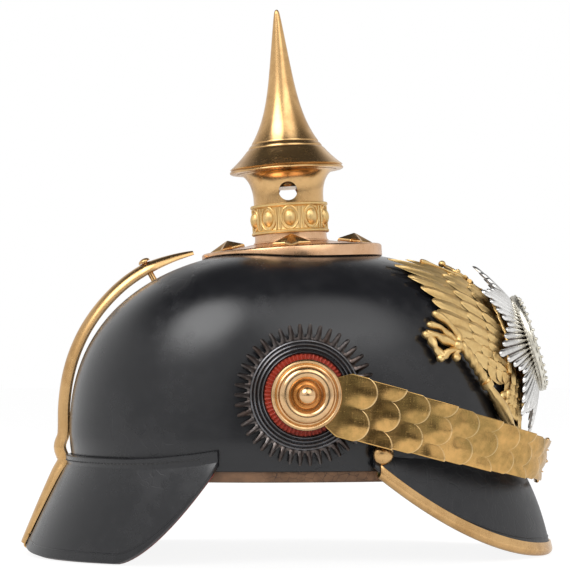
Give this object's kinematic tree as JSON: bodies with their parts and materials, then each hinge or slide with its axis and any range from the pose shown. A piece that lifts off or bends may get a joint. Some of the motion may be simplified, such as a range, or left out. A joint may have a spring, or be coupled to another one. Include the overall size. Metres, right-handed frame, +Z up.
{
  "type": "spiked dress helmet",
  "caption": "Black lacquered leather military helmet with a spike on a trumpet neck, gilt eagle plate with a rayed star, cockades, a spine, two visors and a scaled chin strap.",
  "frame": {"origin": "centre of the bounding box's base, on the surface that the helmet stands on", "axes": "+X to the front of the helmet, +Y to the wearer's left, +Z up to the spike"},
  "size_m": [0.2643, 0.206, 0.2716],
  "materials": {
    "black_leather": "polished black lacquer with fine age cracks",
    "band_leather": "worn brown skin",
    "silk": "matt gathered silk",
    "green_leather": "smooth dyed lining",
    "red_leather": "smooth dyed lining",
    "brass": "polished, toned with age",
    "gilt": "fire gilt, bright",
    "silver": "silvered, toned",
    "dark_silver": "tarnished silvering",
    "enamel_red": "satin lacquer",
    "enamel_black": "satin lacquer",
    "strap_leather": "dark worn leather"
  },
  "bodies": {
    "helmet": {"skull": "black_leather", "sweatband": "band_leather", "liner": "silk", "front_visor": "black_leather", "front_visor_lining": "green_leather", "rear_visor": "black_leather", "rear_visor_lining": "red_leather", "front_trim": "brass", "trim_studs": "brass", "spine": "brass", "spine_stud": "brass", "base_plate": "brass", "star_studs": "gilt", "stud_washers": "brass", "stud_nuts": "brass", "spike_neck": "brass", "pearl_ring": "gilt", "neck_socket": "brass", "eagle_plate": "gilt", "guard_star": "silver", "star_medallion": "gilt", "plate_nuts": "brass", "boss_washers": "brass", "boss_nuts": "brass", "right_cockade_outer": "dark_silver", "right_cockade_ring": "silver", "right_cockade_core": "enamel_red", "right_boss": "gilt", "left_cockade_outer": "dark_silver", "left_cockade_ring": "silver", "left_cockade_core": "enamel_black", "left_boss": "gilt"},
    "spike": {"spike": "brass"},
    "right_end_link": {"right_end_plate": "brass", "right_strap_leather": "strap_leather"},
    "right_link_1": {"right_scale_1": "brass"},
    "right_link_2": {"right_scale_2": "brass"},
    "right_link_3": {"right_scale_3": "brass"},
    "right_link_4": {"right_scale_4": "brass"},
    "right_link_5": {"right_scale_5": "brass"},
    "right_link_6": {"right_scale_6": "brass"},
    "right_link_7": {"right_scale_7": "brass"},
    "right_link_8": {"right_scale_8": "brass"},
    "right_link_9": {"right_scale_9": "brass"},
    "right_buckle_end": {"buckle": "brass"},
    "left_end_link": {"left_end_plate": "brass", "left_strap_leather": "strap_leather"},
    "left_link_1": {"left_scale_1": "brass"},
    "left_link_2": {"left_scale_2": "brass"},
    "left_link_3": {"left_scale_3": "brass"},
    "left_link_4": {"left_scale_4": "brass"},
    "left_link_5": {"left_scale_5": "brass"},
    "left_link_6": {"left_scale_6": "brass"},
    "left_link_7": {"left_scale_7": "brass"},
    "left_link_8": {"left_scale_8": "brass"},
    "left_link_9": {"left_scale_9": "brass"},
    "left_buckle_end": {"billet": "strap_leather"},
    "prong": {"buckle_prong": "brass"}
  },
  "joints": [
    {"name": "spike_lift", "type": "slide", "parent": "helmet", "child": "spike", "axis": [-0.0628, 0, 0.998], "range_m": [0, 0.03]},
    {"name": "right_strap_swing", "type": "hinge", "parent": "helmet", "child": "right_end_link", "pos_m": [0.00979, -0.09452, 0.0796], "axis": [-0.09, 0.9959, 0], "range_deg": [0, 44], "deforming": ["right_strap_leather"]},
    {"name": "right_flex_1", "type": "hinge", "parent": "right_end_link", "child": "right_link_1", "pos_m": [0.04057, -0.09174, 0.07132], "axis": [0.2578, 0.0233, 0.9659], "range_deg": [-3.01, 0]},
    {"name": "right_flex_2", "type": "hinge", "parent": "right_link_1", "child": "right_link_2", "pos_m": [0.053, -0.08993, 0.06796], "axis": [0.2578, 0.0233, 0.9659], "range_deg": [-4.17, 0]},
    {"name": "right_flex_3", "type": "hinge", "parent": "right_link_2", "child": "right_link_3", "pos_m": [0.06526, -0.08719, 0.06462], "axis": [0.2578, 0.0233, 0.9659], "range_deg": [-5.32, 0]},
    {"name": "right_flex_4", "type": "hinge", "parent": "right_link_3", "child": "right_link_4", "pos_m": [0.07722, -0.0833, 0.06133], "axis": [0.2578, 0.0233, 0.9659], "range_deg": [-6.48, 0]},
    {"name": "right_flex_5", "type": "hinge", "parent": "right_link_4", "child": "right_link_5", "pos_m": [0.08867, -0.07803, 0.05815], "axis": [0.2578, 0.0233, 0.9659], "range_deg": [-7.63, 0]},
    {"name": "right_flex_6", "type": "hinge", "parent": "right_link_5", "child": "right_link_6", "pos_m": [0.09933, -0.07123, 0.05514], "axis": [0.2578, 0.0233, 0.9659], "range_deg": [-8.79, 0]},
    {"name": "right_flex_7", "type": "hinge", "parent": "right_link_6", "child": "right_link_7", "pos_m": [0.10886, -0.06282, 0.0524], "axis": [0.2578, 0.0233, 0.9659], "range_deg": [-9.94, 0]},
    {"name": "right_flex_8", "type": "hinge", "parent": "right_link_7", "child": "right_link_8", "pos_m": [0.11683, -0.05282, 0.05003], "axis": [0.2578, 0.0233, 0.9659], "range_deg": [-11.1, 0]},
    {"name": "right_flex_9", "type": "hinge", "parent": "right_link_8", "child": "right_link_9", "pos_m": [0.12278, -0.04142, 0.04816], "axis": [0.2578, 0.0233, 0.9659], "range_deg": [-12.25, 0]},
    {"name": "right_flex_10", "type": "hinge", "parent": "right_link_9", "child": "right_buckle_end", "pos_m": [0.12625, -0.02895, 0.04694], "axis": [0.2578, 0.0233, 0.9659], "range_deg": [-13.41, 0]},
    {"name": "left_strap_swing", "type": "hinge", "parent": "helmet", "child": "left_end_link", "pos_m": [0.00979, 0.09452, 0.0796], "axis": [0.09, 0.9959, 0], "range_deg": [0, 44], "deforming": ["left_strap_leather"]},
    {"name": "left_flex_1", "type": "hinge", "parent": "left_end_link", "child": "left_link_1", "pos_m": [0.04057, 0.09174, 0.07132], "axis": [-0.2578, 0.0233, -0.9659], "range_deg": [-3.01, 0]},
    {"name": "left_flex_2", "type": "hinge", "parent": "left_link_1", "child": "left_link_2", "pos_m": [0.053, 0.08993, 0.06796], "axis": [-0.2578, 0.0233, -0.9659], "range_deg": [-4.17, 0]},
    {"name": "left_flex_3", "type": "hinge", "parent": "left_link_2", "child": "left_link_3", "pos_m": [0.06526, 0.08719, 0.06462], "axis": [-0.2578, 0.0233, -0.9659], "range_deg": [-5.32, 0]},
    {"name": "left_flex_4", "type": "hinge", "parent": "left_link_3", "child": "left_link_4", "pos_m": [0.07722, 0.0833, 0.06133], "axis": [-0.2578, 0.0233, -0.9659], "range_deg": [-6.48, 0]},
    {"name": "left_flex_5", "type": "hinge", "parent": "left_link_4", "child": "left_link_5", "pos_m": [0.08867, 0.07803, 0.05815], "axis": [-0.2578, 0.0233, -0.9659], "range_deg": [-7.63, 0]},
    {"name": "left_flex_6", "type": "hinge", "parent": "left_link_5", "child": "left_link_6", "pos_m": [0.09933, 0.07123, 0.05514], "axis": [-0.2578, 0.0233, -0.9659], "range_deg": [-8.79, 0]},
    {"name": "left_flex_7", "type": "hinge", "parent": "left_link_6", "child": "left_link_7", "pos_m": [0.10886, 0.06282, 0.0524], "axis": [-0.2578, 0.0233, -0.9659], "range_deg": [-9.94, 0]},
    {"name": "left_flex_8", "type": "hinge", "parent": "left_link_7", "child": "left_link_8", "pos_m": [0.11683, 0.05282, 0.05003], "axis": [-0.2578, 0.0233, -0.9659], "range_deg": [-11.1, 0]},
    {"name": "left_flex_9", "type": "hinge", "parent": "left_link_8", "child": "left_link_9", "pos_m": [0.12278, 0.04142, 0.04816], "axis": [-0.2578, 0.0233, -0.9659], "range_deg": [-12.25, 0]},
    {"name": "left_flex_10", "type": "hinge", "parent": "left_link_9", "child": "left_buckle_end", "pos_m": [0.12625, 0.02895, 0.04694], "axis": [-0.2578, 0.0233, -0.9659], "range_deg": [-13.41, 0]},
    {"name": "prong_lift", "type": "hinge", "parent": "right_buckle_end", "child": "prong", "pos_m": [0.12677, -0.01637, 0.0465], "axis": [-0.2578, -0.0233, -0.9659], "range_deg": [0, 110]}
  ],
  "couplings": [
    {"joint": "right_flex_1", "follows": "right_strap_swing", "ratio": -0.068182},
    {"joint": "right_flex_2", "follows": "right_strap_swing", "ratio": -0.094445},
    {"joint": "right_flex_3", "follows": "right_strap_swing", "ratio": -0.12071},
    {"joint": "right_flex_4", "follows": "right_strap_swing", "ratio": -0.14697},
    {"joint": "right_flex_5", "follows": "right_strap_swing", "ratio": -0.17323},
    {"joint": "right_flex_6", "follows": "right_strap_swing", "ratio": -0.1995},
    {"joint": "right_flex_7", "follows": "right_strap_swing", "ratio": -0.22576},
    {"joint": "right_flex_8", "follows": "right_strap_swing", "ratio": -0.25202},
    {"joint": "right_flex_9", "follows": "right_strap_swing", "ratio": -0.27828},
    {"joint": "right_flex_10", "follows": "right_strap_swing", "ratio": -0.30455},
    {"joint": "left_flex_1", "follows": "left_strap_swing", "ratio": -0.068182},
    {"joint": "left_flex_2", "follows": "left_strap_swing", "ratio": -0.094445},
    {"joint": "left_flex_3", "follows": "left_strap_swing", "ratio": -0.12071},
    {"joint": "left_flex_4", "follows": "left_strap_swing", "ratio": -0.14697},
    {"joint": "left_flex_5", "follows": "left_strap_swing", "ratio": -0.17323},
    {"joint": "left_flex_6", "follows": "left_strap_swing", "ratio": -0.1995},
    {"joint": "left_flex_7", "follows": "left_strap_swing", "ratio": -0.22576},
    {"joint": "left_flex_8", "follows": "left_strap_swing", "ratio": -0.25202},
    {"joint": "left_flex_9", "follows": "left_strap_swing", "ratio": -0.27828},
    {"joint": "left_flex_10", "follows": "left_strap_swing", "ratio": -0.30455}
  ]
}
